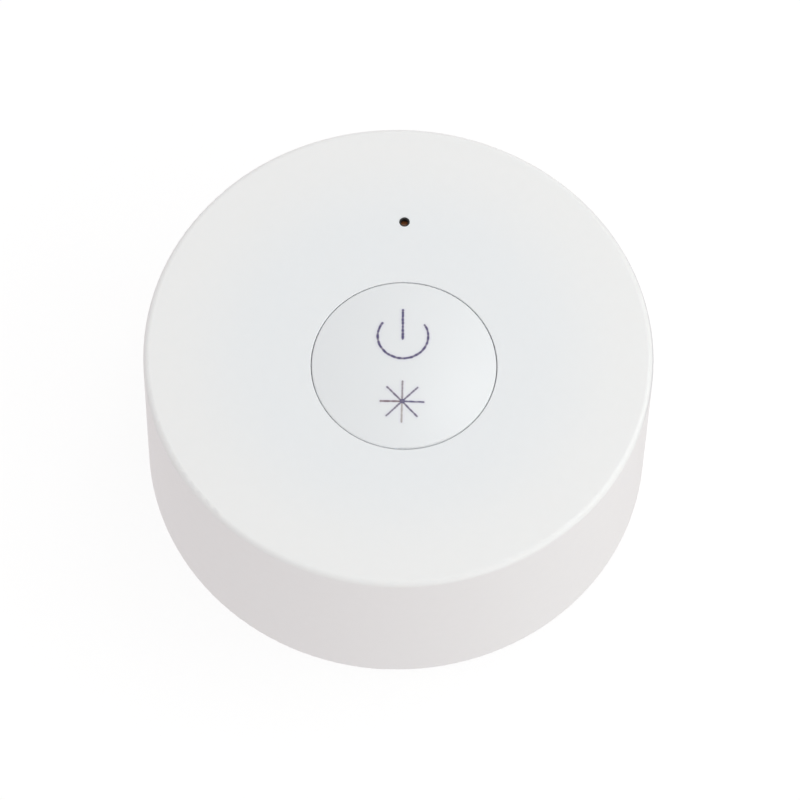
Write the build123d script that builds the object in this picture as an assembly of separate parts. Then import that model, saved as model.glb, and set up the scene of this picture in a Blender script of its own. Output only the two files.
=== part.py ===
from build123d import *
from math import cos, hypot, radians, sin, sqrt
import os

# Round one-key radio remote control, standing on a flat surface.
# Origin: centre of the case on the surface it stands on, +Z up, +Y to the back,
# where the indicator hole is. All lengths are in millimetres, all angles in degrees.

# Case
case_diameter = 52.0
case_height = 21.5
rim_round = 0.6
lower_edge_round = 0.3
side_wall = 1.8
rim_wall = 1.0
roof_thickness = 1.8
roof_corner_chamfer = 0.8

# Push button, its place in the top face and its guide under the roof
button_x = 0.59
button_y = -1.42
button_diameter = 18.84
button_gap = 0.07
button_crown = 0.9
button_edge_round = 0.2
button_roof = 1.1
button_skirt = 1.2
button_travel = 0.3
stop_gap = 0.1
collar_drop = 1.1
collar_wall = 1.65
flange_thickness = 1.0
flange_reach = 1.35
flange_side_gap = 0.3
key_count = 3
key_width = 1.6
key_reach = 0.85
key_gap = 0.15
post_width = 4.4
post_wall = 1.2
cap_rib_wall = 0.9
cap_rib_drop = 1.4
press_gap = 0.05
bore_edge_round = 0.1

# Indicator hole, its light shield and the lamp
indicator_x = 0.25
indicator_inset = 11.0
indicator_diameter = 1.1
lamp_diameter = 3.0
lamp_length = 5.0
lamp_flange_rim = 0.3
lamp_flange_height = 1.0
lamp_pitch = 2.54
lamp_lead = 0.45
lamp_lead_tail = 0.8
lamp_lead_gap = 0.2
lamp_side_gap = 0.15
lamp_top_gap = 0.03
lamp_pocket_depth = 1.35
lamp_boss_wall = 0.95
lamp_boss_gap = 0.2
spacer_wall = 0.7
spacer_lead_gap = 0.15
shield_gap = 0.02
shield_wall = 0.14
shield_recess = 0.05
shield_lip_height = 0.15
shield_lip_reach = 0.4

# Base cover and the ring foot let into it
base_thickness = 2.0
base_side_gap = 0.1
base_edge_chamfer = 0.3
base_rib_height = 1.0
base_rib_wall = 1.0
base_rib_count = 6
foot_proud = 0.4
foot_width = 4.0
foot_groove_depth = 0.6
foot_side_gap = 0.05
foot_edge_round = 0.2
locating_key_width = 3.0
locating_key_depth = 1.0

# Screws that close the case and screws that hold the circuit board
case_screw_count = 3
case_screw_inset = 5.0
case_screw_angle = 0
case_screw_length = 7.0
board_screw_count = 3
board_screw_inset = 8.5
board_screw_angle = 60
board_screw_length = 5.0
screw_shank_diameter = 1.7
screw_head_diameter = 3.4
screw_head_height = 1.1
screw_recess_width = 0.5
screw_recess_length = 2.0
screw_recess_depth = 0.5
pilot_gap = 0.05
screw_hole_gap = 0.3
head_pocket_gap = 0.2
head_foot_gap = 0.2
boss_wall = 1.5
boss_web_wall = 1.2
roof_rib_wall = 1.0
roof_rib_drop = 1.5

# Battery door with its twist lock
door_floor = 1.4
door_flange_reach = 1.8
door_flange_thickness = 0.9
door_ring_wall = 1.8
door_gap = 0.15
lug_reach = 1.1
lug_thickness = 0.8
lug_lift = 0.1
lug_count = 3
lug_angle = 90
lug_spread_angle = 22
door_turn_angle = 25
notch_gap_angle = 2
stop_spread_angle = 4
stop_gap_angle = 0.5
coin_slot_width = 2.2
coin_slot_length = 15.0
coin_slot_depth = 0.8
mark_diameter = 0.9
mark_depth = 0.25
mark_angle = 270
rest_pad_radius = 6.0
rest_pad_width = 1.4

# Coin cell
cell_diameter = 20.0
cell_height = 3.2
cell_wall = 0.3
cell_seal_wall = 0.6
cell_seal_drop = 0.2
cell_lid_drop = 0.3
cell_fit = 0.02
cell_door_gap = 0.4
cell_rest_gap = 0.05
cell_lift = 0.35
cell_edge_chamfer = 0.2

# Holder and contacts of the cell
holder_gap = 0.25
holder_wall = 1.45
holder_roof = 1.0
holder_door_gap = 0.3
holder_window_length = 15.0
holder_window_width = 6.0
peg_count = 2
peg_diameter = 1.5
peg_stand = 0.6
peg_inset = 2.5
peg_angle = 90
contact_sheet = 0.25
contact_width = 4.0
contact_slot_gap = 0.2
contact_touch_gap = 0.05
positive_tail = 1.6
negative_foot = 3.2
negative_run = 7.0
negative_tip = 1.6

# Circuit board
board_thickness = 1.2
board_side_gap = 1.8
board_height = 8.6
board_notch_gap = 0.4

# Tact switch under the button
switch_side = 6.0
switch_height = 3.0
switch_cavity_diameter = 4.5
switch_cavity_depth = 1.3
switch_frame_sheet = 0.3
switch_tab_width = 3.0
switch_tab_drop = 2.0
plunger_diameter = 3.4
plunger_flange_reach = 0.4
plunger_flange_height = 0.7
plunger_stand = 1.7
plunger_gap = 0.05
dome_height = 0.5
dome_sheet = 0.1
dome_side_gap = 0.2
terminal_width = 0.7
terminal_sheet = 0.2
terminal_foot = 1.2
terminal_rise = 0.9
terminal_pitch = 4.5

# Parts soldered on the board, with their places as shares of the board's radius
radio_chip_side = 4.0
radio_chip_height = 0.85
radio_chip_x_share = -0.42
radio_chip_y_share = 0.27
crystal_length = 3.2
crystal_width = 2.5
crystal_height = 0.7
crystal_x_share = -0.42
crystal_y_share = 0.5
chip_length = 1.6
chip_width = 0.8
capacitor_height = 0.8
resistor_height = 0.45
chip_pitch = 2.0
capacitor_count = 6
capacitor_x_share = 0.38
resistor_count = 5
resistor_x_share = 0.52
trace_width = 0.6
trace_pitch = 1.5
trace_thickness = 0.1
trace_depth = 4.5
trace_turns = 3
trace_edge_gap = 2.65
trace_x_share = -0.05

# One overrun for every cut, and one for every piece that grows out of another
overrun = 1.0
weld = 0.4

# Heights, from the surface up
case_low = foot_proud
top_face = case_low + case_height
roof_low = top_face - roof_thickness
base_high = case_low + base_thickness
base_rib_high = base_high + base_rib_height
groove_roof = case_low + foot_groove_depth
screw_seat = groove_roof + head_foot_gap + screw_head_height
pad_high = screw_seat + screw_head_height
door_inside = case_low + door_floor
lug_low = base_high + lug_lift
lug_high = lug_low + lug_thickness
cell_low = door_inside + cell_lift
cell_high = cell_low + cell_height
board_low = case_low + board_height
board_high = board_low + board_thickness
collar_low = roof_low - collar_drop
flange_high = collar_low - stop_gap
flange_low = flange_high - flange_thickness
cap_inside = top_face - button_roof
switch_high = board_high + switch_height
cavity_floor = switch_high - switch_cavity_depth
plunger_low = cavity_floor + dome_height + plunger_gap
frame_high = switch_high + switch_frame_sheet
plunger_high = frame_high + plunger_stand
post_low = plunger_high + press_gap
lamp_pocket_high = roof_low + lamp_pocket_depth
shield_low = lamp_pocket_high - shield_lip_height
lamp_high = shield_low - lamp_top_gap
lamp_low = lamp_high - lamp_length

# Radii, from the axis of the case, the button, the lamp or the screw outwards
case_radius = case_diameter / 2
cavity_radius = case_radius - side_wall
rebate_radius = case_radius - rim_wall
base_radius = rebate_radius - base_side_gap
cap_radius = button_diameter / 2
bore_radius = cap_radius + button_gap
collar_radius = bore_radius + collar_wall
flange_radius = bore_radius + flange_reach
case_screw_circle = case_radius - case_screw_inset
board_screw_circle = case_radius - board_screw_inset
indicator_y = case_radius - indicator_inset
indicator_radius = indicator_diameter / 2
shank_radius = screw_shank_diameter / 2
head_radius = screw_head_diameter / 2
pilot_radius = shank_radius + pilot_gap
screw_hole_radius = shank_radius + screw_hole_gap
head_pocket_radius = head_radius + head_pocket_gap
boss_radius = pilot_radius + boss_wall
board_radius = cavity_radius - board_side_gap
notch_radius = boss_radius + board_notch_gap
foot_outer = case_screw_circle + foot_width / 2
foot_inner = case_screw_circle - foot_width / 2
cell_radius = cell_diameter / 2
door_ring_inner = cell_radius + cell_door_gap
door_hub = door_ring_inner + door_ring_wall
door_radius = door_hub + door_flange_reach
lug_radius = door_hub + lug_reach
holder_inner = cell_radius + holder_gap
holder_outer = holder_inner + holder_wall
peg_circle = holder_outer - peg_inset
peg_radius = peg_diameter / 2
lamp_radius = lamp_diameter / 2
lamp_bore = lamp_radius + lamp_side_gap
lamp_boss = lamp_bore + lamp_boss_wall
spacer_radius = (lamp_pitch + lamp_lead) / 2 + spacer_wall
full_turn_angle = 360


def disc(radius, low, high, x=0, y=0):
    """A round plate or post between two heights."""
    stands = (Align.CENTER, Align.CENTER, Align.MIN)
    return Pos(x, y, low) * Cylinder(radius, high - low, align=stands)


def ring(outer, inner, low, high, x=0, y=0):
    """A tube or washer between two heights."""
    hole = disc(inner, low - overrun, high + overrun, x, y)
    return disc(outer, low, high, x, y) - hole


def block(width, depth, low, high, x=0, y=0):
    """A rectangular block between two heights."""
    stands = (Align.CENTER, Align.CENTER, Align.MIN)
    return Pos(x, y, low) * Box(width, depth, high - low, align=stands)


def spoke(inner, outer, wall, low, high, angle):
    """A radial wall about the case's axis."""
    return Rot(0, 0, angle) * block(outer - inner, wall, low, high, (inner + outer) / 2)


def arc_piece(outer, inner, low, high, middle, spread):
    """A part of a ring about the case's axis, spread evenly about its middle angle."""
    across = Rectangle(outer - inner, high - low)
    section = Plane.XZ * Pos((outer + inner) / 2, (low + high) / 2) * across
    return Rot(0, 0, middle - spread / 2) * revolve(section, Axis.Z, spread)


def around(count, first):
    """Even angles round the case."""
    return [first + turn * full_turn_angle / count for turn in range(count)]


def on_circle(radius, angle):
    """The place at an angle on a circle about the case's axis."""
    return radius * cos(radians(angle)), radius * sin(radians(angle))


def places(radius, count, first):
    """Even places on a circle about the case's axis."""
    return [on_circle(radius, angle) for angle in around(count, first)]


def joined(body, pieces):
    """A body with other pieces grown onto it."""
    for piece in pieces:
        body = body + piece
    return body


def cut(body, tools):
    """A body with tools cut from it."""
    for tool in tools:
        body = body - tool
    return body


case_screws_at = places(case_screw_circle, case_screw_count, case_screw_angle)
board_screws_at = places(board_screw_circle, board_screw_count, board_screw_angle)
pegs_at = places(peg_circle, peg_count, peg_angle)
lamp_leads_at = [indicator_x + side * lamp_pitch / 2 for side in (-1, 1)]


def cover_skin():
    """The turned outside of the top cover with its hollow and the rebate for the base."""
    skin = disc(case_radius, case_low, top_face)
    skin = fillet(skin.edges().sort_by(Axis.Z)[-1], rim_round)
    skin = fillet(skin.edges().sort_by(Axis.Z)[0], lower_edge_round)
    hollow = disc(cavity_radius, case_low - overrun, roof_low)
    hollow = chamfer(hollow.edges().sort_by(Axis.Z)[-1], roof_corner_chamfer)
    return cut(skin, [hollow, disc(rebate_radius, case_low - overrun, base_high)])


def cover_ribs():
    """Ribs under the roof, from the button's collar past each boss to the side wall."""
    low = roof_low - roof_rib_drop
    reach = cavity_radius + weld
    angles = around(case_screw_count, case_screw_angle)
    angles += around(board_screw_count, board_screw_angle)
    return [spoke(bore_radius, reach, roof_rib_wall, low, roof_low + weld, a) for a in angles]


def cover_bosses():
    """Long bosses for the case screws, webbed to the wall, and shorter ones for the board."""
    high = roof_low + weld
    bosses = [disc(boss_radius, pad_high, high, x, y) for x, y in case_screws_at]
    bosses += [disc(boss_radius, board_high, high, x, y) for x, y in board_screws_at]
    reach = cavity_radius + weld
    for angle in around(case_screw_count, case_screw_angle):
        bosses.append(spoke(case_screw_circle, reach, boss_web_wall, pad_high, high, angle))
    return bosses


def cover_pilots():
    """Blind holes that the screws cut their threads in."""
    tools = []
    for x, y in case_screws_at:
        high = screw_seat + case_screw_length + overrun
        tools.append(disc(pilot_radius, pad_high - overrun, high, x, y))
    for x, y in board_screws_at:
        high = board_low + board_screw_length + overrun
        tools.append(disc(pilot_radius, board_high - overrun, high, x, y))
    return tools


def button_keys(width, reach, low, high):
    """Keys, or the ways that they run in, standing out of the button's skirt."""
    inner = cap_radius - button_skirt / 2
    bars = [spoke(inner, reach, width, low, high, a) for a in around(key_count, case_screw_angle)]
    return [Pos(button_x, button_y, 0) * bar for bar in bars]


def top_cover():
    """The moulded case: skin, collar and keyways for the button, bosses, ribs, lamp pocket."""
    collar = disc(collar_radius, collar_low, roof_low + weld, button_x, button_y)
    lamp_low_end = lamp_low + lamp_flange_height + lamp_boss_gap
    pocket = disc(lamp_boss, lamp_low_end, roof_low + weld, indicator_x, indicator_y)
    body = joined(cover_skin(), cover_ribs() + cover_bosses() + [collar, pocket])
    reach = cap_radius + key_reach + key_gap
    swept = flange_radius + flange_side_gap
    flange_floor = flange_low - button_travel - overrun
    tools = [
        disc(swept, flange_floor, collar_low, button_x, button_y),
        disc(bore_radius, flange_floor, top_face + overrun, button_x, button_y),
        disc(lamp_bore, lamp_low_end - overrun, lamp_pocket_high, indicator_x, indicator_y),
        disc(indicator_radius, roof_low, top_face + overrun, indicator_x, indicator_y),
    ]
    tools += button_keys(key_width + 2 * key_gap, reach, collar_low - overrun, roof_low)
    body = cut(body, tools + cover_pilots())
    body = joined(body, [locating_key(0)])
    mouth = body.edges().group_by(Axis.Z)[-1].sort_by(SortBy.RADIUS)[1]
    return fillet(mouth, bore_edge_round)


def locating_key(gap):
    """The key in the rebate that lets the base go in one way only, or its notch."""
    inner = rebate_radius - locating_key_depth - gap
    low = case_low + base_edge_chamfer - gap
    width = locating_key_width + 2 * gap
    return spoke(inner, rebate_radius + weld / 2, width, low, base_high + gap, lug_angle)


def button_cap():
    """The domed button: skirt, stop flange, keys, and a cross post over the switch."""
    apex = top_face + button_crown
    sphere = (cap_radius**2 + button_crown**2) / (2 * button_crown)
    half = cap_radius / 2
    half_height = apex - sphere + sqrt(sphere**2 - half**2)
    skirt_inner = cap_radius - button_skirt
    crown = ThreePointArc((0, apex), (half, half_height), (cap_radius, top_face))
    sides = Polyline(
        (cap_radius, top_face),
        (cap_radius, flange_high),
        (flange_radius, flange_high),
        (flange_radius, flange_low),
        (skirt_inner, flange_low),
        (skirt_inner, cap_inside),
        (0, cap_inside),
        (0, apex),
    )
    profile = make_face([crown, sides])
    rim = profile.vertices().sort_by_distance((cap_radius, top_face))[0]
    profile = fillet(rim, button_edge_round)
    shell = Pos(button_x, button_y, 0) * revolve(Plane.XZ * profile, Axis.Z)
    return joined(shell, button_posts() + cap_keys())


def button_posts():
    """The cross post that meets the plunger, and the ribs from it to the skirt."""
    high = cap_inside + weld
    span = 2 * (cap_radius - button_skirt) + weld
    rib_low = cap_inside - cap_rib_drop
    return [
        block(post_width, post_wall, post_low, high, button_x, button_y),
        block(post_wall, post_width, post_low, high, button_x, button_y),
        block(span, cap_rib_wall, rib_low, high, button_x, button_y),
        block(cap_rib_wall, span, rib_low, high, button_x, button_y),
    ]


def cap_keys():
    """Keys that stop the button from turning, under the roof and on the flange."""
    return button_keys(key_width, cap_radius + key_reach, flange_low, roof_low - 2 * stop_gap)


def base_cover():
    """The base: groove for the foot, screw pads, door opening with lug notches, ribs."""
    plate = disc(base_radius, case_low, base_high)
    plate = chamfer(plate.edges().sort_by(Axis.Z)[0], base_edge_chamfer)
    door_rib = door_radius + door_gap + base_rib_wall
    rib = ring(door_rib, door_radius + door_gap, base_high - weld, base_rib_high)
    pads = [disc(boss_radius, base_high - weld, pad_high, x, y) for x, y in case_screws_at]
    reach = cavity_radius - base_rib_wall
    step = full_turn_angle / base_rib_count
    low = base_high - weld
    start = door_rib - weld
    rays = around(base_rib_count, step / 2)
    rays = [spoke(start, reach, base_rib_wall, low, base_rib_high, a) for a in rays]
    body = joined(plate, [rib] + pads + rays + base_stops())
    groove_low = case_low - overrun
    tools = [
        ring(foot_outer, foot_inner, groove_low, groove_roof),
        disc(door_radius + door_gap, groove_low, case_low + door_flange_thickness + door_gap / 2),
        disc(door_hub + door_gap, groove_low, base_rib_high),
        locating_key(base_side_gap),
    ]
    for angle in around(lug_count, lug_angle):
        middle = angle - door_turn_angle
        spread = lug_spread_angle + notch_gap_angle
        high = base_high + overrun
        tools.append(arc_piece(lug_radius + door_gap, door_ring_inner, case_low, high, middle, spread))
    for x, y in case_screws_at:
        tools.append(disc(head_pocket_radius, groove_low, screw_seat, x, y))
        tools.append(disc(screw_hole_radius, groove_low, pad_high + overrun, x, y))
    for turn in (0, -door_turn_angle):
        x, y = on_circle(door_radius + door_gap + base_rib_wall, mark_angle + turn)
        tools.append(disc(mark_diameter / 2, groove_low, case_low + mark_depth, x, y))
    return cut(body, tools)


def base_stops():
    """Blocks inside the base that end the door's turn each way."""
    outer = lug_radius + weld
    inner = door_hub + 2 * door_gap
    reach = (lug_spread_angle + stop_spread_angle) / 2 + stop_gap_angle
    stops = []
    for angle in around(lug_count, lug_angle):
        for middle in (angle + reach, angle - door_turn_angle - reach):
            stops.append(arc_piece(outer, inner, base_high - weld, lug_high, middle, stop_spread_angle))
    return stops


def battery_door():
    """The round door: flush flange, hub with lock lugs, coin slot, pad under the cell."""
    flange = disc(door_radius, case_low, case_low + door_flange_thickness)
    hub = disc(door_hub, case_low, lug_high)
    hollow = disc(door_ring_inner, door_inside, lug_high + overrun)
    lugs = []
    for angle in around(lug_count, lug_angle):
        lugs.append(arc_piece(lug_radius, door_hub - weld, lug_low, lug_high, angle, lug_spread_angle))
    pad_outer = rest_pad_radius + rest_pad_width / 2
    pad_inner = rest_pad_radius - rest_pad_width / 2
    pad = ring(pad_outer, pad_inner, door_inside - weld, cell_low - cell_rest_gap)
    slot = extrude(SlotOverall(coin_slot_length, coin_slot_width), coin_slot_depth + overrun)
    slot = Pos(0, 0, case_low - overrun) * slot
    x, y = on_circle(door_radius - mark_diameter, mark_angle)
    mark = disc(mark_diameter / 2, case_low - overrun, case_low + mark_depth, x, y)
    body = joined(cut(joined(flange, [hub]), [hollow]), lugs + [pad])
    return cut(body, [slot, mark])


def ring_foot():
    """The anti-slip ring in the groove of the base, which also hides the case screws."""
    foot = ring(foot_outer - foot_side_gap, foot_inner + foot_side_gap, 0, groove_roof)
    return fillet(foot.edges().group_by(Axis.Z)[0], foot_edge_round)


def screw(x, y, seat, length):
    """A pan screw from below: head under its seat, shank upwards, cross recess."""
    low = seat - screw_head_height
    body = disc(head_radius, low, seat, x, y) + disc(shank_radius, seat, seat + length, x, y)
    depth = low + screw_recess_depth
    bars = [
        block(screw_recess_length, screw_recess_width, low - overrun, depth, x, y),
        block(screw_recess_width, screw_recess_length, low - overrun, depth, x, y),
    ]
    return cut(body, bars)


def case_screws():
    """The screws that hold the base to the top cover."""
    return Compound([screw(x, y, screw_seat, case_screw_length).solid() for x, y in case_screws_at])


def board_screws():
    """The screws that hold the circuit board under the top cover."""
    return Compound([screw(x, y, board_low, board_screw_length).solid() for x, y in board_screws_at])


def circuit_board():
    """The round board with notches round the case bosses and holes for what it carries."""
    board = disc(board_radius, board_low, board_high)
    low = board_low - overrun
    high = board_high + overrun
    tools = []
    for angle in around(case_screw_count, case_screw_angle):
        x, y = on_circle(case_screw_circle, angle)
        tools.append(disc(notch_radius, low, high, x, y))
        tools.append(spoke(case_screw_circle, case_radius, 2 * notch_radius, low, high, angle))
    tools += [disc(screw_hole_radius, low, high, x, y) for x, y in board_screws_at]
    tools += [disc(peg_radius + pilot_gap, low, high, x, y) for x, y in pegs_at]
    tools += [disc(lamp_lead, low, high, x, indicator_y) for x in lamp_leads_at]
    return cut(board, tools)


def switch_base():
    """The square body of the switch with the round well for its dome."""
    body = block(switch_side, switch_side, board_high, switch_high, button_x, button_y)
    well = disc(switch_cavity_diameter / 2, cavity_floor, switch_high + overrun, button_x, button_y)
    return body - well


def switch_frame():
    """The sheet cover of the switch, folded down on two sides."""
    side = switch_side + 2 * switch_frame_sheet
    plate = block(switch_side, side, switch_high, frame_high, button_x, button_y)
    offset = (switch_side + switch_frame_sheet) / 2
    low = switch_high - switch_tab_drop
    for way in (-1, 1):
        y = button_y + way * offset
        plate += block(switch_tab_width, switch_frame_sheet, low, switch_high, button_x, y)
    hole = plunger_diameter / 2 + 2 * plunger_gap
    return plate - disc(hole, switch_high - overrun, frame_high + overrun, button_x, button_y)


def switch_plunger():
    """The stem that the button's post pushes, with the flange that keeps it in."""
    flange = plunger_diameter / 2 + plunger_flange_reach
    high = plunger_low + plunger_flange_height
    stem = disc(plunger_diameter / 2, plunger_low, plunger_high, button_x, button_y)
    return stem + disc(flange, plunger_low, high, button_x, button_y)


def switch_dome():
    """The snap dome in the well of the switch."""
    outer = switch_cavity_diameter / 2 - dome_side_gap
    sphere = (outer**2 + dome_height**2) / (2 * dome_height)
    inner_height = dome_height - dome_sheet
    inner = outer - 2 * dome_sheet
    inner_sphere = (inner**2 + inner_height**2) / (2 * inner_height)

    def cap_arc(reach, height, radius):
        half = reach / 2
        middle = height - radius + sqrt(radius**2 - half**2)
        return ThreePointArc((0, height), (half, middle), (reach, 0))

    edges = [
        cap_arc(outer, dome_height, sphere),
        cap_arc(inner, inner_height, inner_sphere),
        Line((outer, 0), (inner, 0)),
        Line((0, dome_height), (0, inner_height)),
    ]
    dome = revolve(Plane.XZ * make_face(edges), Axis.Z)
    return Pos(button_x, button_y, cavity_floor) * dome


def switch_terminals():
    """Four bent legs that stand beside the switch and lie on the board."""
    legs = []
    for side in (-1, 1):
        for row in (-1, 1):
            y = button_y + row * terminal_pitch / 2
            inner = button_x + side * switch_side / 2
            foot_middle = inner + side * terminal_foot / 2
            rise_middle = inner + side * terminal_sheet / 2
            foot_high = board_high + terminal_sheet
            rise_high = board_high + terminal_rise
            foot = block(terminal_foot, terminal_width, board_high, foot_high, foot_middle, y)
            rise = block(terminal_sheet, terminal_width, board_high, rise_high, rise_middle, y)
            legs.append((foot + rise).solid())
    return Compound(legs)


def led_body():
    """The lamp under the indicator hole: flange, round body, domed end."""
    rim = lamp_radius + lamp_flange_rim
    body = disc(lamp_radius, lamp_low, lamp_high, indicator_x, indicator_y)
    body = fillet(body.edges().sort_by(Axis.Z)[-1], lamp_radius - lamp_lead)
    return body + disc(rim, lamp_low, lamp_low + lamp_flange_height, indicator_x, indicator_y)


def led_leads():
    """The lamp's two legs, down through the board."""
    low = board_low - lamp_lead_tail
    legs = [block(lamp_lead, lamp_lead, low, lamp_low, x, indicator_y) for x in lamp_leads_at]
    return Compound([leg.solid() for leg in legs])


def led_spacer():
    """The sleeve that stands the lamp off the board."""
    body = disc(spacer_radius, board_high, lamp_low, indicator_x, indicator_y)
    bore = hypot(lamp_lead, lamp_lead) / 2 + spacer_lead_gap
    high = lamp_low + overrun
    return cut(body, [disc(bore, board_high - overrun, high, x, indicator_y) for x in lamp_leads_at])


def light_shield():
    """The dark bush in the indicator hole that keeps the lamp's light out of the roof."""
    outer = indicator_radius - shield_gap
    lip = indicator_radius + shield_lip_reach
    high = top_face - shield_recess
    bush = disc(outer, shield_low, high, indicator_x, indicator_y)
    bush += disc(lip, shield_low, lamp_pocket_high, indicator_x, indicator_y)
    bore = disc(outer - shield_wall, shield_low - overrun, top_face, indicator_x, indicator_y)
    return bush - bore


def radio_chip():
    """The radio chip, with one corner bevelled to mark its first leg."""
    x = radio_chip_x_share * board_radius
    y = radio_chip_y_share * board_radius
    body = block(radio_chip_side, radio_chip_side, board_high, board_high + radio_chip_height, x, y)
    corner = body.edges().filter_by(Axis.Z).sort_by(Axis.X)[0]
    return chamfer(corner, radio_chip_height / 2)


def crystal():
    """The crystal in its metal can."""
    x = crystal_x_share * board_radius
    y = crystal_y_share * board_radius
    can = block(crystal_length, crystal_width, board_high, board_high + crystal_height, x, y)
    return fillet(can.edges().filter_by(Axis.Z), crystal_height / 2)


def chip_row(count, x_share, height):
    """A row of small soldered chips beside the switch."""
    start = -(count - 1) * chip_pitch / 2
    x = x_share * board_radius
    rows = [start + step * chip_pitch for step in range(count)]
    high = board_high + height
    return Compound([block(chip_length, chip_width, board_high, high, x, y).solid() for y in rows])


def chip_capacitors():
    """The row of chip capacitors."""
    return chip_row(capacitor_count, capacitor_x_share, capacitor_height)


def chip_resistors():
    """The row of chip resistors."""
    return chip_row(resistor_count, resistor_x_share, resistor_height)


def antenna():
    """The printed aerial: one trace that winds to and fro along the board's front edge."""
    x = trace_x_share * board_radius
    y = trace_edge_gap + trace_depth / 2 - board_radius
    high = board_high + trace_thickness
    start = x - (2 * trace_turns - 1) * trace_pitch / 2
    trace = None
    for leg in range(2 * trace_turns):
        leg_x = start + leg * trace_pitch
        bar = block(trace_width, trace_depth, board_high, high, leg_x, y)
        trace = bar if trace is None else trace + bar
        if leg:
            end = y + (trace_depth - trace_width) / 2 * (-1) ** leg
            link_x = leg_x - trace_pitch / 2
            trace += block(trace_pitch, trace_width, board_high, high, link_x, end)
    return trace


def bent_sheet(points, width):
    """A bent strip of contact sheet, drawn in side view and as wide as given."""
    side = trace(Polyline(*points), contact_sheet)
    return extrude(Plane.XZ * side, width / 2, both=True)


def positive_contact():
    """The strip that lies under the board and stands against the side of the cell."""
    upright = cell_radius + contact_touch_gap + contact_sheet / 2
    foot_z = board_low - contact_sheet / 2
    end = holder_outer + positive_tail
    bottom = lug_high + holder_door_gap
    return bent_sheet([(upright, bottom), (upright, foot_z), (end, foot_z)], contact_width)


def negative_contact():
    """The leaf that hangs from the board and presses on the lid of the cell."""
    foot_z = board_low - contact_sheet / 2
    tip_z = cell_high + contact_touch_gap + contact_sheet / 2
    start = -negative_run / 2 - negative_foot
    bend = -negative_run / 2
    tip = bend + negative_run
    points = [(start, foot_z), (bend, foot_z), (tip - negative_tip, tip_z), (tip, tip_z)]
    return bent_sheet(points, contact_width)


def cell_holder():
    """The ring that holds the cell under the board, with pegs, windows and room for leads."""
    low = lug_high + holder_door_gap
    body = disc(holder_outer, low, board_low)
    pegs = [disc(peg_radius, board_low - weld, board_high + peg_stand, x, y) for x, y in pegs_at]
    slot_width = contact_width + 2 * contact_slot_gap
    slot_inner = cell_radius - contact_sheet
    tools = [
        disc(holder_inner, low - overrun, board_low - holder_roof),
        block(holder_window_length, holder_window_width, low, board_low + overrun),
        spoke(slot_inner, holder_outer + overrun, slot_width, low - overrun, board_low + overrun, 0),
    ]
    tail_low = board_low - lamp_lead_tail - lamp_lead_gap
    tail_radius = lamp_lead + lamp_lead_gap
    for x in lamp_leads_at:
        tools.append(disc(tail_radius, tail_low, board_low + overrun, x, indicator_y))
    return joined(cut(body, tools), pegs)


def cell_can():
    """The cell's outer cup, flat side down towards the door."""
    body = disc(cell_radius, cell_low, cell_high - cell_lid_drop)
    body = chamfer(body.edges().sort_by(Axis.Z)[0], cell_edge_chamfer)
    return body - disc(cell_radius - cell_wall, cell_low + cell_wall, cell_high + overrun)


def cell_seal():
    """The sealing ring between the cup and the lid of the cell."""
    outer = cell_radius - cell_wall - cell_fit
    return ring(outer, outer - cell_seal_wall, cell_low + cell_wall, cell_high - cell_seal_drop)


def cell_lid():
    """The cell's lid, the negative side, towards the board."""
    radius = cell_radius - cell_wall - cell_seal_wall - 2 * cell_fit
    body = disc(radius, cell_low + cell_wall, cell_high)
    return chamfer(body.edges().sort_by(Axis.Z)[-1], cell_edge_chamfer)


makers = [
    top_cover,
    button_cap,
    base_cover,
    battery_door,
    ring_foot,
    case_screws,
    board_screws,
    circuit_board,
    switch_base,
    switch_frame,
    switch_plunger,
    switch_dome,
    switch_terminals,
    led_body,
    led_leads,
    led_spacer,
    light_shield,
    radio_chip,
    crystal,
    chip_capacitors,
    chip_resistors,
    antenna,
    positive_contact,
    negative_contact,
    cell_holder,
    cell_can,
    cell_seal,
    cell_lid,
]

os.makedirs("parts", exist_ok=True)
for maker in makers:
    export_step(maker(), f"parts/{maker.__name__}.step")
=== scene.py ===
import math

import bmesh
import bpy
from mathutils import Matrix, Vector, noise


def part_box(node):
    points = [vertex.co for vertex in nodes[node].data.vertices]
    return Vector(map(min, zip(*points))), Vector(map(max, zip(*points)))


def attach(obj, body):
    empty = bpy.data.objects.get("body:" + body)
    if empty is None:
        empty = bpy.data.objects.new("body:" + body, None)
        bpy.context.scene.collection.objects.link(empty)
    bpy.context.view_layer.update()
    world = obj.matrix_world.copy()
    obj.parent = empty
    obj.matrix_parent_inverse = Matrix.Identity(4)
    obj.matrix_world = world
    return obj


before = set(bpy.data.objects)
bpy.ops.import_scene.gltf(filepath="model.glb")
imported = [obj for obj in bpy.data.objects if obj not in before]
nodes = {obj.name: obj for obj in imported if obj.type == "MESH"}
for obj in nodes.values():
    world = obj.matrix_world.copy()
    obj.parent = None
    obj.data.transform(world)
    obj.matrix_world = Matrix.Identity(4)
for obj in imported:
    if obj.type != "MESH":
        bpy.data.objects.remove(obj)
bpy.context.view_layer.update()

# Lengths are in metres, angles in degrees. One millimetre:
mm = 0.001

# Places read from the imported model
top_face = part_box("top_cover")[1].z
cap_low, cap_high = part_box("button_cap")
button_centre = Vector(((cap_low.x + cap_high.x) / 2, (cap_low.y + cap_high.y) / 2, 0))
button_apex = cap_high.z

# The button's face, as its box holds the wider flange below it
button_radius = 9.42 * mm

# The photograph's frame, in its own pixels, and the camera that took it
picture_px = 800
focal_px = 5693.3
shift_right_px = -1.43
shift_down_px = -47.62
camera_tilt = 64.14
camera_roll = -1.51
camera_distance = 579.6 * mm
sensor_width = 36.0

# The room's light from above, the table's from below, and how far they mix at its edge
room_above = (0.72, 0.72, 0.72)
table_below = (0.787, 0.746, 0.749)
horizon_blur = 0.05

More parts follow.
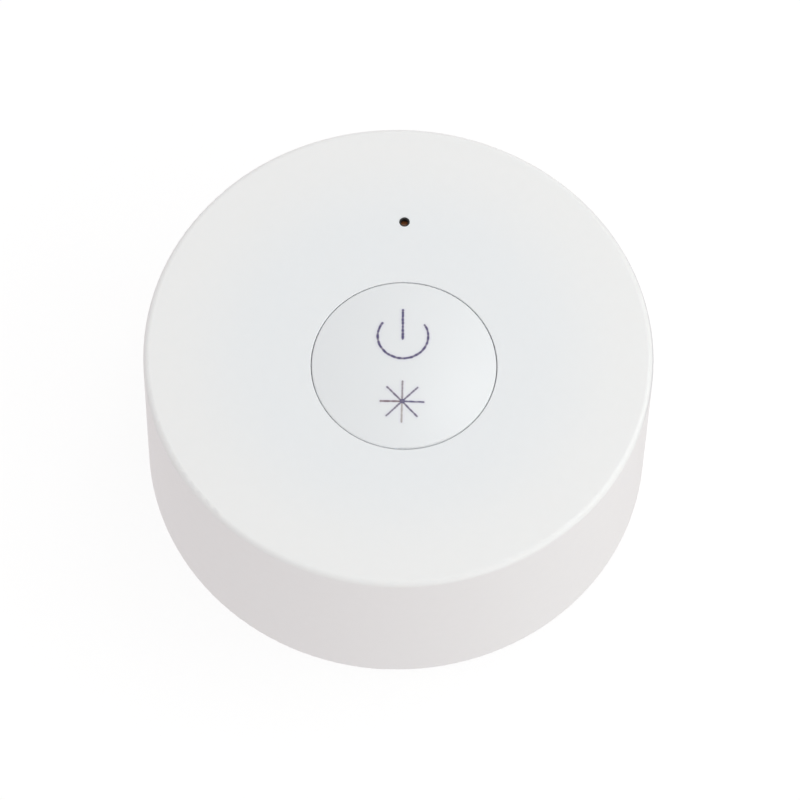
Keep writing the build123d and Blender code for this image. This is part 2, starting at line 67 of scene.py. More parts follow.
# Soft square lamps: name, place, width, power in watts and tint
lamp_aim = Vector((0, 0, 0.01))
lamps = (
    ("upper_right_box", (0.55, 0.0, 0.45), 0.4, 0.83, (0.9, 1, 0.945)),
    ("front_right_box", (0.45, -0.45, 0.3), 0.6, 0.87, (0.945, 1, 0.97)),
    ("near_top_box", (0.18, 0.17, 0.71), 0.25, 0.287, (1, 1, 1)),
    ("wide_top_box", (0.32, 0.3, 0.6), 0.4, 0.4, (1, 1, 1)),
    ("back_top_box", (0.14, 0.5, 0.54), 0.3, 0.129, (1, 1, 1)),
)

# The floor: half its width, its paint, and the white glow mixed into it
floor_reach = 1.5
floor_tone = (0.88, 0.86, 0.86, 1)
floor_roughness = 0.9
floor_glow = 1.05
floor_glow_share = 0.82

# White plastic: the share of light that goes under its skin, and how far in red, green and blue
skin_share = 0.25
skin_depth = 0.4 * mm
skin_reach = (1, 0.96, 0.92)

# The case's and the button's satin finish, with colours as the eye's values from 0 to 255
satin_grain = 0.25 * mm
satin_relief = 0.001 * mm
case_middle = (234, 235, 237)
case_middle_flow = (232, 233, 235)
# The case's colours towards the rim are a painted highlight, paler only because of how the light
# falls there
case_edge_painted_highlight = (238, 237, 237)
case_edge_flow_painted_highlight = (236, 235, 235)
case_flow_share = 0.8
case_flow_size = 0.9 * mm
case_gloss = (0.28, 0.34)
button_white = (232, 233, 235)
button_gloss = (0.28, 0.28)

# The slow drift of tone on most moulded pieces: its share and size
slow_flow_share = 0.1
slow_flow_size = 12 * mm

# The tracks under the board's mask, and how the streaks of rolled metal are stretched
track_pitch = 4 * mm
track_width = 0.05
track_relief = 0.02 * mm
streak_stretch = (0.06, 1, 1)

# How far from its axis a painted highlight starts to turn the case's white paler, and where it is
# palest
painted_highlight_ring_start = 13 * mm
painted_highlight_ring_end = 24 * mm

# The thin grey painted shade line on the right of the rim: its heights below the top, and where it
# fades
rim_shade_line_top = 0.1 * mm
rim_shade_line_middle = 0.35 * mm
rim_shade_line_bottom = 0.8 * mm
rim_shade_line_left = 14 * mm
rim_shade_line_right = 24 * mm
rim_shade_line_front = -14 * mm
rim_shade_line_back = 2 * mm
rim_shade_line_tone = (200, 200, 202)

# The two printed signs, from the middle of the button
ink_lift = 0.01 * mm
ink_sink = 0.04 * mm
power_centre = Vector((-0.19, 2.9)) * mm
power_radius = 2.58 * mm
power_left_end = 142.8
power_right_end = 393.9
power_bar_top = Vector((-0.26, 6.08)) * mm
power_bar_bottom = Vector((-0.2, 2.47)) * mm
power_stroke = 0.165 * mm
star_centre = Vector((-0.11, -4.45)) * mm
star_ray = 2.26 * mm
star_stroke = 0.115 * mm
star_core = 0.27 * mm
star_core_sides = 14
star_ray_start = 0.5 * star_core
core_lift = 1.2 * ink_lift
core_waver = 2
tip_squash = 0.04
stroke_step = 0.06 * mm
stroke_waver = 0.035 * mm
waver_length = 0.5 * mm
dot_swell = 0.17
dot_fade = 0.18
dot_drift = 0.16 * mm
dot_strength = 0.5

# The ink's own colours, the tints its tones lead to, and its gloss and grain
ink_dark = (54, 44, 96)
ink_pale = (98, 90, 136)
ink_tints = (("warm", (104, 70, 78)), ("worn", (196, 190, 186)), ("bleed", (232, 232, 237)))
ink_flow_share = 0.8
ink_flow_size = 0.4 * mm
ink_gloss = (0.4, 0.55)
bleed_gloss = 0.27
ink_grain = 0.08 * mm
ink_relief = 0.001 * mm

# Dot pitch, seed, warmth and wear of the power sign's ring and bar
power_ring_print = (0.6 * mm, 3, 0.05, 0.02)
power_bar_print = (0.42 * mm, 5, 0.0, 0.0)

# The ink's bleed beside a stroke: reach from its edge, share of its height, and fade
bleed_rows = (
    (0.26 * mm, 0.12, 0.985),
    (0.17 * mm, 0.2, 0.96),
    (0.09 * mm, 0.35, 0.89),
    (0.035 * mm, 0.6, 0.62),
    (0.0, 1.0, 0.0),
)
bleed_ends = ((0.12 * mm, 0.97), (0.07 * mm, 0.9), (0.03 * mm, 0.7))

# The star's rays, anticlockwise from the right one: warmth, wear and dot pitch
star_tones = (
    (0.0, 0.08, 0.9 * mm),
    (0.1, 0.2, 0.3 * mm),
    (0.25, 0.46, 0.34 * mm),
    (0.2, 0.2, 0.5 * mm),
    (0.8, 0.13, 0.8 * mm),
    (0.1, 0.24, 0.3 * mm),
    (0.7, 0.7, 0.7 * mm),
    (0.1, 0.16, 0.6 * mm),
)
star_seed = 7

# Warmth and wear of the star's core, at its edge and in its middle
core_edge_tones = (0.0, 0.1)
core_middle_tones = (0.1, 0.2)


# Shared effects

def new_group(name, inputs, outputs):
    """An empty shader node group with named inputs and outputs."""
    group = bpy.data.node_groups.new(name, "ShaderNodeTree")
    for label, kind, value in inputs:
        socket = group.interface.new_socket(label, in_out="INPUT", socket_type=kind)
        socket.default_value = value
    for label, kind in outputs:
        group.interface.new_socket(label, in_out="OUTPUT", socket_type=kind)
    entry = group.nodes.new("NodeGroupInput")
    leave = group.nodes.new("NodeGroupOutput")
    return group, entry, leave


def add(tree, kind, **settings):
    """A node in a tree with its settings."""
    node = tree.nodes.new(kind)
    for name, value in settings.items():
        setattr(node, name, value)
    return node


def one_over(tree, value):
    """One divided by a socket, which turns a size into a texture's scale."""
    node = add(tree, "ShaderNodeMath", operation="DIVIDE")
    node.inputs[0].default_value = 1
    tree.links.new(value, node.inputs[1])
    return node.outputs[0]


def noise_at(tree, place, size, detail=2.0):
    """Even noise from 0 to 1 with spots of the given size."""
    node = add(tree, "ShaderNodeTexNoise", noise_dimensions="3D")
    node.inputs["Detail"].default_value = detail
    tree.links.new(place, node.inputs["Vector"])
    tree.links.new(one_over(tree, size), node.inputs["Scale"])
    return node.outputs["Fac"]


def moulded_surface():
    """Moulded plastic: a slow drift of tone and gloss, and the fine grain of the mould."""
    group, entry, leave = new_group(
        "moulded_surface",
        [
            ("Colour", "NodeSocketColor", (0.8, 0.8, 0.8, 1)),
            ("Flow colour", "NodeSocketColor", (0.7, 0.7, 0.7, 1)),
            ("Flow share", "NodeSocketFloat", slow_flow_share),
            ("Flow size", "NodeSocketFloat", slow_flow_size),
            ("Gloss low", "NodeSocketFloat", 0.4),
            ("Gloss high", "NodeSocketFloat", 0.45),
            ("Grain size", "NodeSocketFloat", 0.2 * mm),
        ],
        [
            ("Colour", "NodeSocketColor"),
            ("Roughness", "NodeSocketFloat"),
            ("Grain", "NodeSocketFloat"),
        ],
    )
    place = add(group, "ShaderNodeTexCoord").outputs["Object"]
    flow = noise_at(group, place, entry.outputs["Flow size"], detail=1.0)
    share = add(group, "ShaderNodeMath", operation="MULTIPLY")
    group.links.new(flow, share.inputs[0])
    group.links.new(entry.outputs["Flow share"], share.inputs[1])
    tone = add(group, "ShaderNodeMix", data_type="RGBA")
    group.links.new(share.outputs[0], tone.inputs["Factor"])
    group.links.new(entry.outputs["Colour"], tone.inputs["A"])
    group.links.new(entry.outputs["Flow colour"], tone.inputs["B"])
    gloss = add(group, "ShaderNodeMapRange")
    group.links.new(flow, gloss.inputs["Value"])
    group.links.new(entry.outputs["Gloss low"], gloss.inputs["To Min"])
    group.links.new(entry.outputs["Gloss high"], gloss.inputs["To Max"])
    grain = noise_at(group, place, entry.outputs["Grain size"])
    group.links.new(tone.outputs["Result"], leave.inputs["Colour"])
    group.links.new(gloss.outputs["Result"], leave.inputs["Roughness"])
    group.links.new(grain, leave.inputs["Grain"])
    return group


def rolled_sheet():
    """Rolled or drawn metal: long thin streaks along one way, in tone, gloss and height."""
    group, entry, leave = new_group(
        "rolled_sheet",
        [
            ("Colour", "NodeSocketColor", (0.6, 0.6, 0.6, 1)),
            ("Streak colour", "NodeSocketColor", (0.45, 0.45, 0.45, 1)),
            ("Streak size", "NodeSocketFloat", 0.15 * mm),
            ("Gloss low", "NodeSocketFloat", 0.22),
            ("Gloss high", "NodeSocketFloat", 0.4),
        ],
        [
            ("Colour", "NodeSocketColor"),
            ("Roughness", "NodeSocketFloat"),
            ("Streak", "NodeSocketFloat"),
        ],
    )
    place = add(group, "ShaderNodeTexCoord").outputs["Object"]
    stretch = add(group, "ShaderNodeVectorMath", operation="MULTIPLY")
    stretch.inputs[1].default_value = streak_stretch
    group.links.new(place, stretch.inputs[0])
    streak = noise_at(group, stretch.outputs[0], entry.outputs["Streak size"], detail=3.0)
    tone = add(group, "ShaderNodeMix", data_type="RGBA")
    group.links.new(streak, tone.inputs["Factor"])
    group.links.new(entry.outputs["Colour"], tone.inputs["A"])
    group.links.new(entry.outputs["Streak colour"], tone.inputs["B"])
    gloss = add(group, "ShaderNodeMapRange")
    group.links.new(streak, gloss.inputs["Value"])
    group.links.new(entry.outputs["Gloss low"], gloss.inputs["To Min"])
    group.links.new(entry.outputs["Gloss high"], gloss.inputs["To Max"])
    group.links.new(tone.outputs["Result"], leave.inputs["Colour"])
    group.links.new(gloss.outputs["Result"], leave.inputs["Roughness"])
    group.links.new(streak, leave.inputs["Streak"])
    return group


moulding = moulded_surface()
sheet_metal = rolled_sheet()


# Finishes

def srgb(red, green, blue):
    """A colour given as the eye's values from 0 to 255, as the renderer's linear one."""
    def linear(value):
        share = value / 255
        return share / 12.92 if share <= 0.04045 else ((share + 0.055) / 1.055) ** 2.4
    return linear(red), linear(green), linear(blue), 1


def shader(name):
    """A material with a Principled shader, and its tree."""
    material = bpy.data.materials.new(name)
    material.use_nodes = True
    tree = material.node_tree
    return material, tree, tree.nodes["Principled BSDF"]


def feed_bump(tree, principled, height, depth):
    """Fine relief of the given depth from a height between 0 and 1."""
    bump = add(tree, "ShaderNodeBump")
    bump.inputs["Strength"].default_value = 1
    bump.inputs["Distance"].default_value = depth
    tree.links.new(height, bump.inputs["Height"])
    tree.links.new(bump.outputs["Normal"], principled.inputs["Normal"])


def soft_white(principled):
    """Light spreads a little way under the skin of white plastic."""
    principled.inputs["Subsurface Weight"].default_value = skin_share
    principled.inputs["Subsurface Scale"].default_value = skin_depth
    principled.inputs["Subsurface Radius"].default_value = skin_reach


def moulded(tree, colour, flow, gloss, grain, flow_share, flow_size):
    """The moulded surface in a tree, with its colours, gloss range, grain and flow."""
    surface = add(tree, "ShaderNodeGroup", node_tree=moulding)
    surface.inputs["Colour"].default_value = srgb(*colour)
    surface.inputs["Flow colour"].default_value = srgb(*flow)
    surface.inputs["Flow share"].default_value = flow_share
    surface.inputs["Flow size"].default_value = flow_size
    surface.inputs["Gloss low"].default_value = gloss[0]
    surface.inputs["Gloss high"].default_value = gloss[1]
    surface.inputs["Grain size"].default_value = grain
    return surface


def plastic(
    name,
    colour,
    flow,
    gloss,
    grain,
    depth,
    flow_share=slow_flow_share,
    flow_size=slow_flow_size,
):
    """A moulded plastic with its own colour, gloss range, grain size and grain depth."""
    material, tree, principled = shader(name)
    surface = moulded(tree, colour, flow, gloss, grain, flow_share, flow_size)
    tree.links.new(surface.outputs["Colour"], principled.inputs["Base Color"])
    tree.links.new(surface.outputs["Roughness"], principled.inputs["Roughness"])
    feed_bump(tree, principled, surface.outputs["Grain"], depth)
    return material


def metal(name, colour, streak, gloss, size=0.15 * mm, depth=0.002 * mm):
    """A rolled, drawn or plated metal with streaks of its own size."""
    material, tree, principled = shader(name)
    surface = add(tree, "ShaderNodeGroup", node_tree=sheet_metal)
    surface.inputs["Colour"].default_value = srgb(*colour)
    surface.inputs["Streak colour"].default_value = srgb(*streak)
    surface.inputs["Streak size"].default_value = size
    surface.inputs["Gloss low"].default_value = gloss[0]
    surface.inputs["Gloss high"].default_value = gloss[1]
    principled.inputs["Metallic"].default_value = 1
    tree.links.new(surface.outputs["Colour"], principled.inputs["Base Color"])
    tree.links.new(surface.outputs["Roughness"], principled.inputs["Roughness"])
    feed_bump(tree, principled, surface.outputs["Streak"], depth)
    return material


def ramp(tree, value, start, end):
    """A smooth rise from 0 to 1 while a value goes from start to end."""
    node = add(tree, "ShaderNodeMapRange", interpolation_type="SMOOTHSTEP")
    node.inputs["From Min"].default_value = start
    node.inputs["From Max"].default_value = end
    tree.links.new(value, node.inputs["Value"])
    return node.outputs["Result"]


def product(tree, first, second):
    """Two masks multiplied."""
    node = add(tree, "ShaderNodeMath", operation="MULTIPLY")
    tree.links.new(first, node.inputs[0])
    tree.links.new(second, node.inputs[1])
    return node.outputs[0]


def blend(tree, share, first, second):
    """A colour between two, each a socket or a plain colour."""
    node = add(tree, "ShaderNodeMix", data_type="RGBA")
    tree.links.new(share, node.inputs["Factor"])
    for name, colour in (("A", first), ("B", second)):
        if isinstance(colour, tuple):
            node.inputs[name].default_value = srgb(*colour)
        else:
            tree.links.new(colour, node.inputs[name])
    return node.outputs["Result"]


def satin_case():
    """The case's smooth satin white, with a painted highlight that makes it paler towards the rim,
    and a thin grey painted shade line on the right of the rim.
    """
    material, tree, principled = shader("satin_case")
    place = add(tree, "ShaderNodeTexCoord").outputs["Object"]
    flat = add(tree, "ShaderNodeVectorMath", operation="MULTIPLY")
    flat.inputs[1].default_value = (1, 1, 0)
    reach = add(tree, "ShaderNodeVectorMath", operation="LENGTH")
    tree.links.new(place, flat.inputs[0])
    tree.links.new(flat.outputs[0], reach.inputs[0])
    # Painted highlight: the case's white turns paler towards the rim, standing in for the light
    # there
    outward = ramp(tree, reach.outputs["Value"], painted_highlight_ring_start, painted_highlight_ring_end)
    surface = moulded(
        tree,
        case_middle,
        case_middle_flow,
        case_gloss,
        satin_grain,
        case_flow_share,
        case_flow_size,
    )
    colour = blend(tree, outward, case_middle, case_edge_painted_highlight)
    flow = blend(tree, outward, case_middle_flow, case_edge_flow_painted_highlight)
    tree.links.new(colour, surface.inputs["Colour"])
    tree.links.new(flow, surface.inputs["Flow colour"])
    # Painted shade: a thin grey line on the rim's right side, fading towards the front and the
    # left
    axes = add(tree, "ShaderNodeSeparateXYZ")
    tree.links.new(place, axes.inputs[0])
    below = ramp(tree, axes.outputs["Z"], top_face - rim_shade_line_top, top_face - rim_shade_line_middle)
    above = ramp(tree, axes.outputs["Z"], top_face - rim_shade_line_bottom, top_face - rim_shade_line_middle)
    rightward = ramp(tree, axes.outputs["X"], rim_shade_line_left, rim_shade_line_right)
    backward = ramp(tree, axes.outputs["Y"], rim_shade_line_front, rim_shade_line_back)
    shade_band = product(tree, below, above)
    line = product(tree, shade_band, product(tree, rightward, backward))
    shade_lined = blend(tree, line, surface.outputs["Colour"], rim_shade_line_tone)
    tree.links.new(shade_lined, principled.inputs["Base Color"])
    tree.links.new(surface.outputs["Roughness"], principled.inputs["Roughness"])
    soft_white(principled)
    feed_bump(tree, principled, surface.outputs["Grain"], satin_relief)
    return material


def satin_button():
    """The button's even white, a little glossier than the case."""
    material = plastic(
        "satin_button",
        button_white,
        button_white,
        button_gloss,
        satin_grain,
        satin_relief,
        flow_share=0,
    )
    soft_white(material.node_tree.nodes["Principled BSDF"])
    return material


def eroded_base():
    """The underside's white with the coarser grain of an eroded mould."""
    return plastic(
        "eroded_base", (229, 229, 230), (222, 222, 223), (0.55, 0.65), 0.18 * mm, 0.012 * mm
    )


def foot_silicone():
    """The ring foot's grey silicone, matt and a little dusty."""
    return plastic(
        "foot_silicone", (176, 177, 177), (196, 196, 194), (0.75, 0.88), 0.12 * mm, 0.02 * mm, 0.5
    )


def black_nylon(name, shade=28, flow_shade=40):
    """Black glass-filled nylon."""
    dark = (shade, shade, shade + 1)
    flow = (flow_shade, flow_shade, flow_shade + 1)
    return plastic(name, dark, flow, (0.5, 0.65), 0.1 * mm, 0.01 * mm, 0.6, 3 * mm)


def board_mask():
    """Green solder mask with tracks that show under it as paler lines."""
    material, tree, principled = shader("board_mask")
    surface = moulded(
        tree, (18, 84, 52), (14, 70, 44), (0.25, 0.32), 0.5 * mm, 0.5, slow_flow_size
    )
    place = add(tree, "ShaderNodeTexCoord").outputs["Object"]
    tracks = add(tree, "ShaderNodeTexBrick", offset=0.5)
    tracks.inputs["Scale"].default_value = 1 / track_pitch
    tracks.inputs["Mortar Size"].default_value = track_width
    tracks.inputs["Color1"].default_value = (0, 0, 0, 1)
    tracks.inputs["Color2"].default_value = (0, 0, 0, 1)
    tracks.inputs["Mortar"].default_value = (1, 1, 1, 1)
    tree.links.new(place, tracks.inputs["Vector"])
    tone = blend(tree, tracks.outputs["Color"], surface.outputs["Colour"], (36, 112, 70))
    tree.links.new(tone, principled.inputs["Base Color"])
    tree.links.new(surface.outputs["Roughness"], principled.inputs["Roughness"])
    feed_bump(tree, principled, tracks.outputs["Color"], track_relief)
    return material


def lamp_epoxy():
    """The lamp's amber epoxy, dark while it is off."""
    material = plastic(
        "lamp_epoxy", (160, 96, 50), (136, 78, 40), (0.12, 0.2), 0.6 * mm, 0.001 * mm, 0.6, 1 * mm
    )
    material.node_tree.nodes["Principled BSDF"].inputs["Coat Weight"].default_value = 0.5
    return material


def sign_ink():
    """Indigo printing ink: browner or paler from stroke to stroke, and palest where it bleeds."""
    material, tree, principled = shader("sign_ink")
    surface = moulded(
        tree, ink_dark, ink_pale, ink_gloss, ink_grain, ink_flow_share, ink_flow_size
    )
    colour = surface.outputs["Colour"]
    for attribute, tint in ink_tints:
        share = add(tree, "ShaderNodeAttribute", attribute_name=attribute)
        colour = blend(tree, share.outputs["Fac"], colour, tint)
    gloss = add(tree, "ShaderNodeMix", data_type="FLOAT")
    gloss.inputs["B"].default_value = bleed_gloss
    tree.links.new(share.outputs["Fac"], gloss.inputs["Factor"])
    tree.links.new(surface.outputs["Roughness"], gloss.inputs["A"])
    tree.links.new(colour, principled.inputs["Base Color"])
    tree.links.new(gloss.outputs["Result"], principled.inputs["Roughness"])
    feed_bump(tree, principled, surface.outputs["Grain"], ink_relief)
    return material


def dress_nodes():
    """Every carried-over piece gets its finish through its own slots."""
    case, button, base = satin_case(), satin_button(), eroded_base()
    nickel = metal("nickel_sheet", (196, 192, 184), (168, 164, 156), (0.2, 0.34))
    tin = metal("tinned_metal", (200, 200, 198), (178, 178, 176), (0.3, 0.45), 0.1 * mm)
    steel = metal("stamped_steel", (186, 187, 189), (150, 151, 154), (0.25, 0.4))
    zinc = metal("zinc_screw", (172, 175, 180), (140, 143, 149), (0.3, 0.45), 0.2 * mm)
    shell = metal("cell_shell", (205, 205, 206), (184, 184, 186), (0.12, 0.25), 0.3 * mm)
    nylon = black_nylon("black_nylon")
    finishes = {
        "top_cover": case,
        "button_cap": button,
        "base_cover": base,
        "battery_door": base,
        "ring_foot": foot_silicone(),
        "case_screws": zinc,
        "board_screws": zinc,
        "circuit_board": board_mask(),
        "switch_base": nylon,
        "switch_frame": steel,
        "switch_plunger": black_nylon("plunger_nylon", 44, 58),
        "switch_dome": steel,
        "switch_terminals": tin,
        "led_body": lamp_epoxy(),
        "led_leads": tin,
        "led_spacer": nylon,
        "light_shield": black_nylon("shield_nylon", 26, 32),
        "radio_chip": black_nylon("chip_compound", 36, 46),
        "crystal": metal("crystal_can", (190, 188, 180), (160, 158, 150), (0.2, 0.3), 0.2 * mm),
        "chip_capacitors": plastic(
            "capacitor_ceramic", (166, 128, 92), (190, 156, 120), (0.45, 0.6), 0.1 * mm, 0.004 * mm
        ),
        "chip_resistors": black_nylon("resistor_glaze", 22, 30),
        "antenna": metal("aerial_gold", (212, 170, 92), (190, 146, 74), (0.25, 0.35), 0.2 * mm),
        "positive_contact": nickel,
        "negative_contact": nickel,
        "cell_holder": nylon,
        "cell_can": shell,
        "cell_lid": shell,
        "cell_seal": black_nylon("cell_gasket", 50, 66),
    }
    for name, finish in finishes.items():
        node = nodes[name]
        for slot in node.material_slots:
            slot.material = finish


# Printed signs

def dome_height(x, y):
    """The height of the button's crown over a place measured from the button's middle."""
    crown = button_apex - top_face
    sphere = (button_radius**2 + crown**2) / (2 * crown)
    return button_apex - sphere + math.sqrt(sphere**2 - x**2 - y**2)


def wavered(place, seed):
    """A small steady unevenness of a printed edge."""
    return stroke_waver * noise.noise(Vector((place.x, place.y, seed * mm)) / waver_length)


def dot_share(run, pitch, seed):
    """How far a place along a stroke is from a printed dot, which come unevenly."""
    drift = noise.noise(Vector((run, seed * mm, 0)) / waver_length)
    strength = dot_strength + noise.noise(Vector((run, 0, seed * mm)) / waver_length)
    turn = 2 * math.pi * (run + dot_drift * drift) / pitch
    return min(1, max(0, strength)) * (1 - math.cos(turn))


def stroke_samples(line, width, pitch, seed):
    """Places along a stroke, each with its half width, the way along, its wear and bleed."""
    samples = []
    half = width / 2
    length = sum((b - a).length for a, b in zip(line, line[1:]))
    run = 0
    for index, point in enumerate(line):
        before = line[max(index - 1, 0)]
        after = line[min(index + 1, len(line) - 1)]
        run += (point - before).length
        share = min(1, min(run, length - run) / half)
        rounding = math.sqrt(max(tip_squash, 1 - (1 - share) ** 2))
        between = dot_share(run, pitch, seed)
        size = half * rounding * (1 + dot_swell * (1 - between))
        samples.append((point, size, (after - before).normalized(), between, 0))
    tips = []
    for point, size, way, between, _ in (samples[0], samples[-1]):
        outward = -way if point == line[0] else way
        tips.append(
            [
                (point + outward * reach, size, way, between, bleed)
                for reach, bleed in bleed_ends
            ]
        )
    return tips[0] + samples + tips[1][::-1]


def ink_corner(mesh, place, lift, warm, worn, bleed):
    """One corner of the ink, above or below the button's crown, with its tones."""
    corner = mesh.verts.new((place.x, place.y, dome_height(place.x, place.y) + lift))
    for name, tone in (("warm", warm), ("worn", worn), ("bleed", bleed)):
        corner[mesh.verts.layers.float[name]] = tone
    return corner


def inked_stroke(mesh, line, width, pitch, seed, warm, worn):
    """A thin raised ribbon of ink that follows the button's crown and bleeds at its edges."""
    rows = []
    for point, half, way, between, end_bleed in stroke_samples(line, width, pitch, seed):
        across = Vector((-way.y, way.x))
        wear = worn + (1 - worn) * dot_fade * between
        corners = []
        for side, edge_seed in ((1, seed), (-1, seed + 0.5)):
            edge = half + wavered(point, edge_seed)
            ribbon = [(edge + bleed_rows[0][0], -ink_sink, bleed_rows[0][2])]
            ribbon += [(edge + reach, share * ink_lift, fade) for reach, share, fade in bleed_rows]
            placed = [(point + across * side * reach, lift, fade) for reach, lift, fade in ribbon]
            corners += placed if side == 1 else placed[::-1]
        rows.append(
            [
                ink_corner(mesh, place, lift, warm, wear, max(fade, end_bleed))
                for place, lift, fade in corners
            ]
        )
    for near, far in zip(rows, rows[1:]):
        for side in range(len(near)):
            other = (side + 1) % len(near)
            mesh.faces.new((near[side], near[other], far[other], far[side]))
    mesh.faces.new(rows[0])
    mesh.faces.new(reversed(rows[-1]))


def inked_core(mesh):
    """A small uneven blot of ink, a little thicker than the strokes that run into it."""
    rings = []
    for lift in (-ink_sink, core_lift):
        corners = []
        for place in even_arc(star_centre, star_core, 0, 360, star_core_sides)[:-1]:
            outward = (place - star_centre).normalized()
            place = place + outward * core_waver * wavered(place, 1)
            corners.append(ink_corner(mesh, place, lift, *core_edge_tones, 0))
        rings.append(corners)
    below, above = rings
    middle = ink_corner(mesh, star_centre, core_lift, *core_middle_tones, 0)
    for side in range(star_core_sides):
        other = (side + 1) % star_core_sides
        mesh.faces.new((below[side], below[other], above[other], above[side]))
        mesh.faces.new((above[side], above[other], middle))
    mesh.faces.new(reversed(below))


def even_line(start, end):
    """Points along a straight stroke."""
    count = max(2, round((end - start).length / stroke_step))
    return [start.lerp(end, step / count) for step in range(count + 1)]


def even_arc(centre, radius, first, last, count):
    """Points along a round stroke between two angles."""
    angles = [math.radians(first + (last - first) * step / count) for step in range(count + 1)]
    return [centre + Vector((math.cos(a), math.sin(a))) * radius for a in angles]


def finish_sign(name, mesh, ink):
    """A sign's mesh becomes a piece on the button."""
    bmesh.ops.recalc_face_normals(mesh, faces=mesh.faces)
    data = bpy.data.meshes.new(name)
    mesh.to_mesh(data)
    mesh.free()
    data.materials.append(ink)
    piece = bpy.data.objects.new(name, data)
    bpy.context.scene.collection.objects.link(piece)
    piece.location = button_centre
    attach(piece, "button")


def new_sign():
    """An empty sign with room for the tones of its ink."""
    mesh = bmesh.new()
    for tone in ("warm", "worn", "bleed"):
        mesh.verts.layers.float.new(tone)
    return mesh


def power_sign(ink):
    """The open ring with its upright bar."""
    mesh = new_sign()
    turn = power_right_end - power_left_end
    steps = round(math.radians(turn) * power_radius / stroke_step)
    ring = even_arc(power_centre, power_radius, power_left_end, power_right_end, steps)
    inked_stroke(mesh, ring, power_stroke, *power_ring_print)
    bar = even_line(power_bar_top, power_bar_bottom)
    inked_stroke(mesh, bar, power_stroke, *power_bar_print)
    finish_sign("power_sign", mesh, ink)


def star_sign(ink):
    """The brightness star: even rays, palest on the upright ones and brownest on the left."""
    mesh = new_sign()
    for ray, (warm, worn, pitch) in enumerate(star_tones):
        angle = 2 * math.pi * ray / len(star_tones)
        way = Vector((math.cos(angle), math.sin(angle)))
        line = even_line(star_centre + way * star_ray_start, star_centre + way * star_ray)
        inked_stroke(mesh, line, star_stroke, pitch, star_seed + ray, warm, worn)
    inked_core(mesh)
    finish_sign("star_sign", mesh, ink)


# Floor, light and camera

def pale_floor():
    """A plain pale floor, white from above but for the object's soft shadow."""
    mesh = bmesh.new()
    bmesh.ops.create_grid(mesh, x_segments=2, y_segments=2, size=floor_reach)
    data = bpy.data.meshes.new("pale_floor")
    mesh.to_mesh(data)
    mesh.free()
    floor = bpy.data.objects.new("pale_floor", data)
    bpy.context.scene.collection.objects.link(floor)
    material, tree, principled = shader("floor_paint")
    principled.inputs["Base Color"].default_value = floor_tone
    principled.inputs["Roughness"].default_value = floor_roughness
    principled.inputs["Specular IOR Level"].default_value = 0
    white = add(tree, "ShaderNodeEmission")
    white.inputs["Strength"].default_value = floor_glow
    paper = add(tree, "ShaderNodeMixShader")
    paper.inputs["Fac"].default_value = floor_glow_share
    tree.links.new(principled.outputs["BSDF"], paper.inputs[1])
    tree.links.new(white.outputs["Emission"], paper.inputs[2])
    rays = add(tree, "ShaderNodeLightPath")
    side = add(tree, "ShaderNodeNewGeometry")
    seen = add(tree, "ShaderNodeMath", operation="SUBTRACT", use_clamp=True)
    tree.links.new(rays.outputs["Is Camera Ray"], seen.inputs[0])
    tree.links.new(side.outputs["Backfacing"], seen.inputs[1])
    clear = add(tree, "ShaderNodeBsdfTransparent")
    one_sided = add(tree, "ShaderNodeMixShader")
    tree.links.new(seen.outputs[0], one_sided.inputs["Fac"])
    tree.links.new(clear.outputs["BSDF"], one_sided.inputs[1])
    tree.links.new(paper.outputs["Shader"], one_sided.inputs[2])
    output = tree.nodes["Material Output"]
    tree.links.new(one_sided.outputs["Shader"], output.inputs["Surface"])
    data.materials.append(material)


def softbox(name, place, size, power, tint):
    """A soft square lamp that looks at the object."""
    lamp = bpy.data.lights.new(name, "AREA")
    lamp.shape = "SQUARE"
    lamp.size = size
    lamp.energy = power
    lamp.color = tint
    box = bpy.data.objects.new(name, lamp)
    bpy.context.scene.collection.objects.link(box)
    box.location = place
    box.rotation_euler = (lamp_aim - Vector(place)).to_track_quat("-Z", "Y").to_euler()


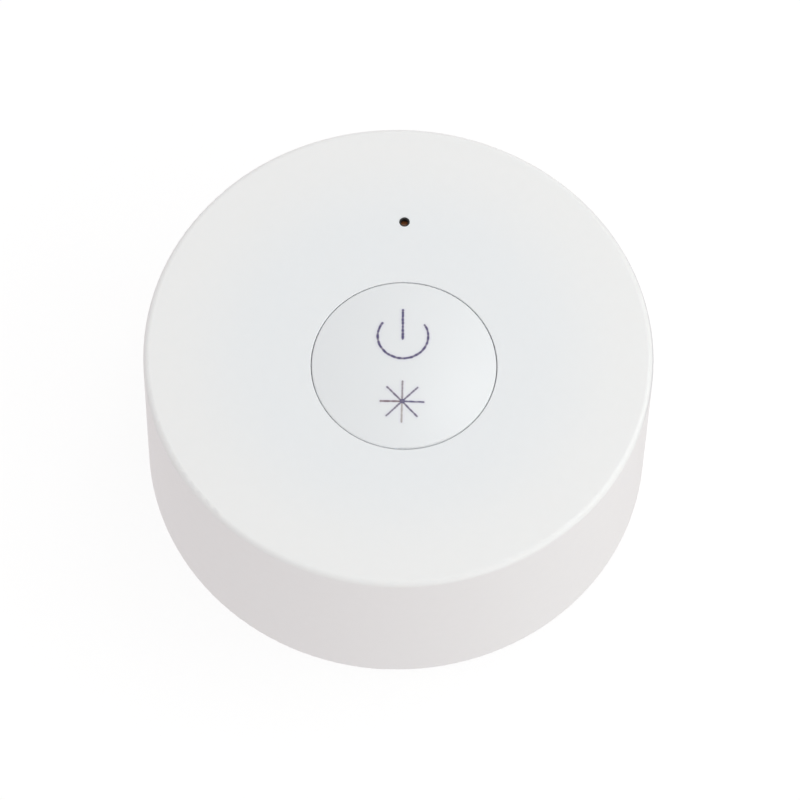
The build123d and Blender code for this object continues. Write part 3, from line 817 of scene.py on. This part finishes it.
def room_light():
    """Even light from the room above and the table below, and plain white to the camera."""
    world = bpy.data.worlds.new("room")
    bpy.context.scene.world = world
    world.use_nodes = True
    tree = world.node_tree
    around = tree.nodes["Background"]
    way = add(tree, "ShaderNodeSeparateXYZ")
    tree.links.new(add(tree, "ShaderNodeTexCoord").outputs["Generated"], way.inputs[0])
    upward = add(tree, "ShaderNodeMapRange")
    upward.inputs["From Min"].default_value = -horizon_blur
    upward.inputs["From Max"].default_value = horizon_blur
    tree.links.new(way.outputs["Z"], upward.inputs["Value"])
    tone = add(tree, "ShaderNodeMix", data_type="RGBA")
    tone.inputs["A"].default_value = (*table_below, 1)
    tone.inputs["B"].default_value = (*room_above, 1)
    tree.links.new(upward.outputs["Result"], tone.inputs["Factor"])
    tree.links.new(tone.outputs["Result"], around.inputs["Color"])
    white = add(tree, "ShaderNodeBackground")
    white.inputs["Color"].default_value = (1, 1, 1, 1)
    rays = add(tree, "ShaderNodeLightPath")
    seen = add(tree, "ShaderNodeMath", operation="MAXIMUM")
    tree.links.new(rays.outputs["Is Camera Ray"], seen.inputs[0])
    tree.links.new(rays.outputs["Is Transmission Ray"], seen.inputs[1])
    mix = add(tree, "ShaderNodeMixShader")
    tree.links.new(seen.outputs[0], mix.inputs["Fac"])
    tree.links.new(around.outputs["Background"], mix.inputs[1])
    tree.links.new(white.outputs["Background"], mix.inputs[2])
    tree.links.new(mix.outputs["Shader"], tree.nodes["World Output"].inputs["Surface"])


def studio_light():
    """A pale room, a pale table and five soft lamps, two of them faintly green."""
    room_light()
    for lamp in lamps:
        softbox(*lamp)


def photo_camera():
    """The camera where the photograph was taken from."""
    tilt = math.radians(camera_tilt)
    roll = math.radians(camera_roll)
    look = Vector((0, math.cos(tilt), -math.sin(tilt)))
    level = Vector((1, 0, 0))
    upright = level.cross(look)
    right = level * math.cos(roll) - upright * math.sin(roll)
    up = level * math.sin(roll) + upright * math.cos(roll)
    sideways = shift_right_px / focal_px * camera_distance
    lift = -shift_down_px / focal_px * camera_distance
    place = -(right * sideways + up * lift + look * camera_distance) + Vector((0, 0, top_face))
    data = bpy.data.cameras.new("photo_camera")
    data.sensor_width = sensor_width
    data.lens = focal_px / picture_px * sensor_width
    data.clip_start = 10 * mm
    data.clip_end = 10
    camera = bpy.data.objects.new("photo_camera", data)
    bpy.context.scene.collection.objects.link(camera)
    turn = Matrix((right, up, -look)).transposed().to_4x4()
    camera.matrix_world = Matrix.Translation(place) @ turn
    bpy.context.scene.camera = camera


dress_nodes()
ink = sign_ink()
power_sign(ink)
star_sign(ink)
pale_floor()
studio_light()
photo_camera()
bpy.context.scene.view_settings.view_transform = "Standard"
